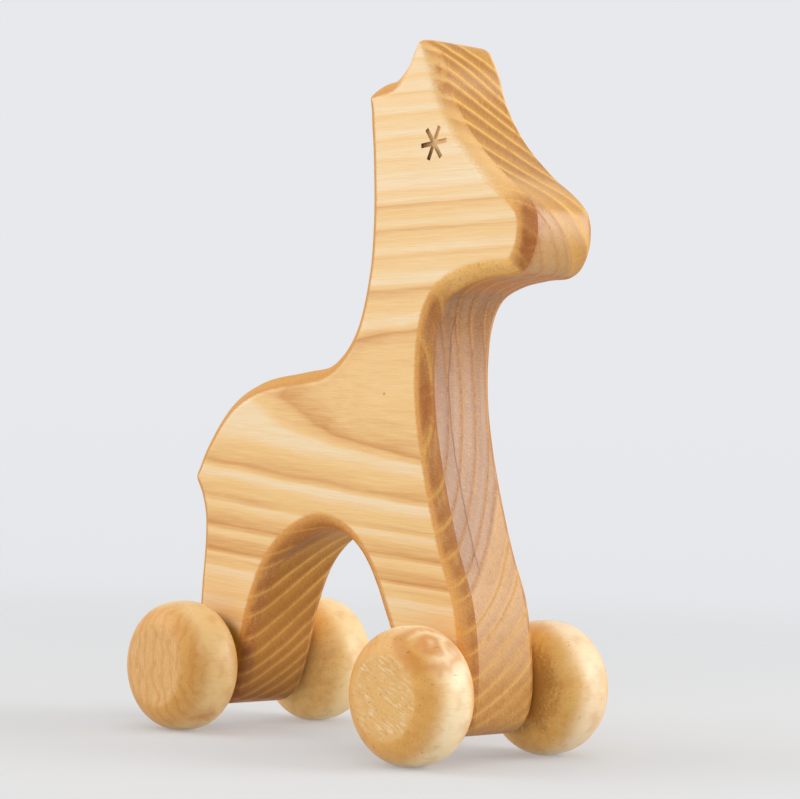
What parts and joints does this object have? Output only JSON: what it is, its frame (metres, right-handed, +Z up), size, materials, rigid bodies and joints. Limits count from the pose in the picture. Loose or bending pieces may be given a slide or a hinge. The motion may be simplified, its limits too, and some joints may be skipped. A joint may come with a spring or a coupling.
{
  "type": "rolling animal toy",
  "caption": "Push-along wooden giraffe: a thick plank body with rounded edges and arched legs, rolling on turned ball wheels glued to axles that run through its feet.",
  "frame": {"origin": "on the floor under the middle of the toy's length, in the plank's middle plane", "axes": "+X the way the giraffe faces, +Y to its left along the axles, +Z up"},
  "size_m": [0.1316, 0.0682, 0.184],
  "materials": {
    "body_wood": "oiled satin",
    "axle_wood": "bare",
    "wheel_wood": "oiled satin"
  },
  "bodies": {
    "body": {"giraffe_body": "body_wood"},
    "front_wheelset": {"front_axle": "axle_wood", "front_right_wheel": "wheel_wood", "front_left_wheel": "wheel_wood"},
    "rear_wheelset": {"rear_axle": "axle_wood", "rear_right_wheel": "wheel_wood", "rear_left_wheel": "wheel_wood"}
  },
  "joints": [
    {"name": "front_wheels_roll", "type": "hinge", "parent": "body", "child": "front_wheelset", "pos_m": [0.04169, 0, 0.0175], "axis": [0, 1, 0], "continuous": true},
    {"name": "rear_wheels_roll", "type": "hinge", "parent": "body", "child": "rear_wheelset", "pos_m": [-0.04831, 0, 0.0175], "axis": [0, 1, 0], "continuous": true}
  ]
}
